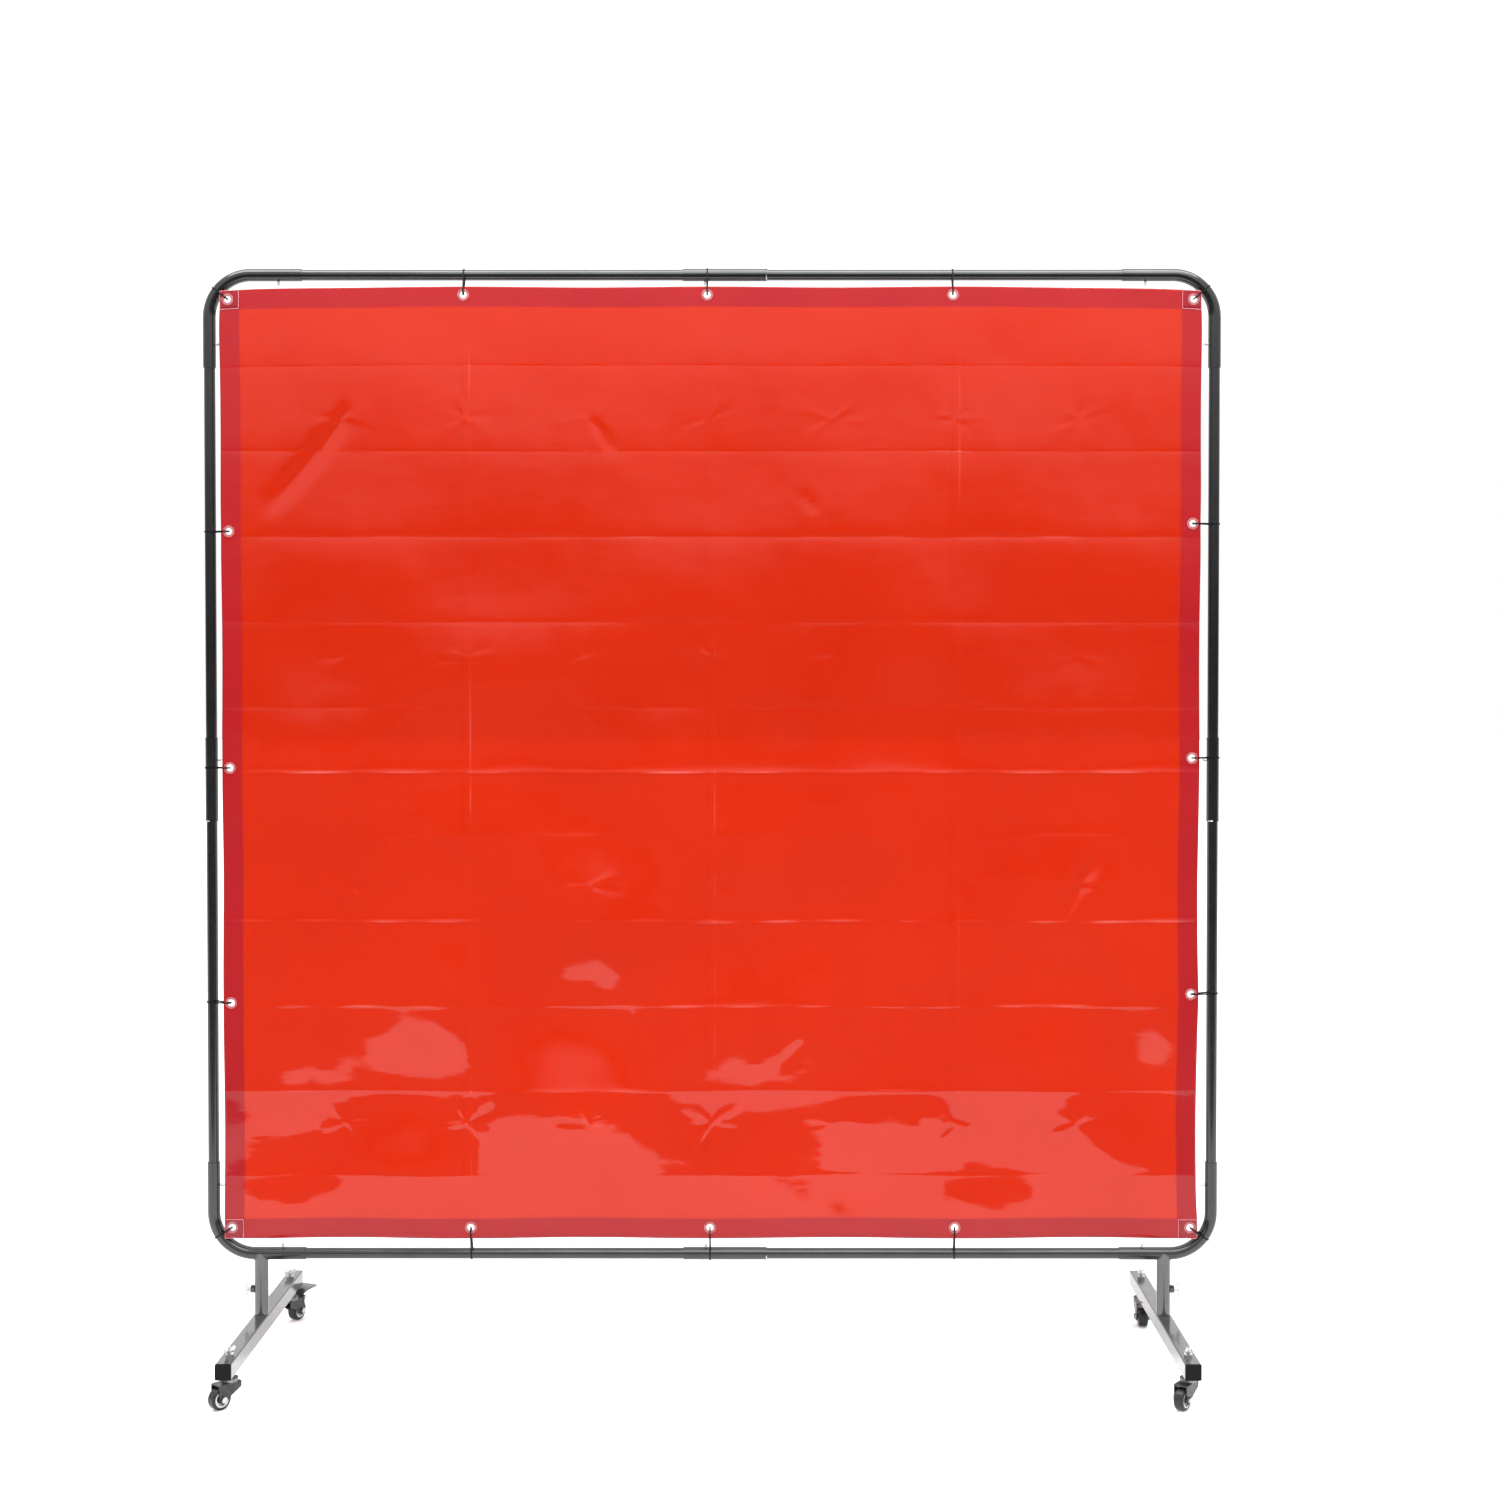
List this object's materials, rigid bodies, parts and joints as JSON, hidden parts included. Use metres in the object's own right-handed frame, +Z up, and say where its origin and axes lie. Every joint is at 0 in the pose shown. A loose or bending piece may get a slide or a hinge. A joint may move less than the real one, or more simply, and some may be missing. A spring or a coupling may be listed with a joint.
{
  "type": "welding curtain screen",
  "caption": "Free-standing screen of round steel tube on castered feet, with a translucent red vinyl curtain tied inside the frame by its eyelets.",
  "frame": {"origin": "on the floor, midway between the two feet and under the frame's plane", "axes": "+X across the screen to the right, +Y to the back, +Z up"},
  "size_m": [1.8324, 0.5684, 1.9782],
  "materials": {
    "frame_paint": "glossy dark gunmetal paint",
    "leg_paint": "glossy dark gunmetal paint",
    "foot_paint": "glossy dark gunmetal paint",
    "dark_nut": "dark paint over a welded nut",
    "zinc": "bright zinc plate",
    "fork_steel": "dark grey plated steel",
    "pedal_steel": "dark grey plated steel",
    "cup_steel": "plated steel",
    "tread": "smooth grey tread",
    "hub": "light grey moulded wheel centre",
    "bearing_seal": "dark bearing seal",
    "end_cap": "black moulded plug",
    "vinyl": "translucent glossy red-orange vinyl",
    "clear_patch": "clear vinyl patch",
    "eyelet": "clear moulded eyelet",
    "cable_tie": "black nylon"
  },
  "bodies": {
    "frame": {"elbow_top_left": "frame_paint", "elbow_top_right": "frame_paint", "elbow_bottom_left": "frame_paint", "elbow_bottom_right": "frame_paint", "top_tube_left": "frame_paint", "top_tube_right": "frame_paint", "bottom_tube_left": "frame_paint", "bottom_tube_right": "frame_paint", "left_tube_upper": "frame_paint", "left_tube_lower": "frame_paint", "right_tube_upper": "frame_paint", "right_tube_lower": "frame_paint", "top_sleeve": "frame_paint", "bottom_sleeve": "frame_paint", "left_sleeve": "frame_paint", "right_sleeve": "frame_paint", "frame_wing_screws": "zinc", "leg_post_left": "leg_paint", "leg_post_right": "leg_paint", "leg_nuts": "dark_nut", "foot_left": "foot_paint", "foot_right": "foot_paint", "foot_stubs": "leg_paint", "foot_end_caps": "end_cap", "curtain_panel": "vinyl", "corner_patches": "clear_patch", "eyelets": "eyelet", "cable_ties": "cable_tie", "caster_stems": "zinc", "stem_wing_nuts": "zinc", "swivel_cups": "cup_steel", "swivel_balls": "zinc"},
    "swivel_front_left": {"fork_front_left": "fork_steel", "axle_front_left": "zinc"},
    "wheel_front_left": {"tread_front_left": "tread", "hub_front_left": "hub", "bearing_front_left": "bearing_seal"},
    "swivel_front_right": {"fork_front_right": "fork_steel", "axle_front_right": "zinc"},
    "wheel_front_right": {"tread_front_right": "tread", "hub_front_right": "hub", "bearing_front_right": "bearing_seal"},
    "swivel_rear_left": {"fork_rear_left": "fork_steel", "axle_rear_left": "zinc", "brake_pin_left": "zinc"},
    "wheel_rear_left": {"tread_rear_left": "tread", "hub_rear_left": "hub", "bearing_rear_left": "bearing_seal"},
    "pedal_left": {"brake_pedal_left": "pedal_steel"},
    "swivel_rear_right": {"fork_rear_right": "fork_steel", "axle_rear_right": "zinc", "brake_pin_right": "zinc"},
    "wheel_rear_right": {"tread_rear_right": "tread", "hub_rear_right": "hub", "bearing_rear_right": "bearing_seal"},
    "pedal_right": {"brake_pedal_right": "pedal_steel"},
    "leg_screw_left": {"leg_wing_screw_left": "zinc"},
    "leg_screw_right": {"leg_wing_screw_right": "zinc"}
  },
  "joints": [
    {"name": "swivel_turn_front_left", "type": "hinge", "parent": "frame", "child": "swivel_front_left", "pos_m": [-0.818, -0.229, 0.043], "axis": [0, 0, 1], "continuous": true},
    {"name": "wheel_roll_front_left", "type": "hinge", "parent": "swivel_front_left", "child": "wheel_front_left", "pos_m": [-0.83178, -0.24485, 0.019], "axis": [0.7547, -0.6561, 0], "continuous": true},
    {"name": "swivel_turn_front_right", "type": "hinge", "parent": "frame", "child": "swivel_front_right", "pos_m": [0.818, -0.229, 0.043], "axis": [0, 0, 1], "continuous": true},
    {"name": "wheel_roll_front_right", "type": "hinge", "parent": "swivel_front_right", "child": "wheel_front_right", "pos_m": [0.80536, -0.24577, 0.019], "axis": [0.7986, -0.6018, 0], "continuous": true},
    {"name": "swivel_turn_rear_left", "type": "hinge", "parent": "frame", "child": "swivel_rear_left", "pos_m": [-0.818, 0.229, 0.043], "axis": [0, 0, 1], "continuous": true},
    {"name": "wheel_roll_rear_left", "type": "hinge", "parent": "swivel_rear_left", "child": "wheel_rear_left", "pos_m": [-0.8098, 0.24833, 0.019], "axis": [-0.9205, 0.3907, 0], "continuous": true},
    {"name": "brake_press_left", "type": "hinge", "parent": "swivel_rear_left", "child": "pedal_left", "pos_m": [-0.80706, 0.25477, 0.0425], "axis": [-0.9205, 0.3907, 0], "range_deg": [0, 20]},
    {"name": "swivel_turn_rear_right", "type": "hinge", "parent": "frame", "child": "swivel_rear_right", "pos_m": [0.818, 0.229, 0.043], "axis": [0, 0, 1], "continuous": true},
    {"name": "wheel_roll_rear_right", "type": "hinge", "parent": "swivel_rear_right", "child": "wheel_rear_right", "pos_m": [0.81727, 0.20801, 0.019], "axis": [0.9994, -0.0349, 0], "continuous": true},
    {"name": "brake_press_right", "type": "hinge", "parent": "swivel_rear_right", "child": "pedal_right", "pos_m": [0.81702, 0.20102, 0.0425], "axis": [0.9994, -0.0349, 0], "range_deg": [0, 20]},
    {"name": "leg_screw_turn_left", "type": "hinge", "parent": "frame", "child": "leg_screw_left", "pos_m": [-0.818, 0, 0.133], "axis": [-1, 0, 0], "range_deg": [0, 270]},
    {"name": "leg_screw_turn_right", "type": "hinge", "parent": "frame", "child": "leg_screw_right", "pos_m": [0.818, 0, 0.133], "axis": [1, 0, 0], "range_deg": [0, 270]}
  ]
}
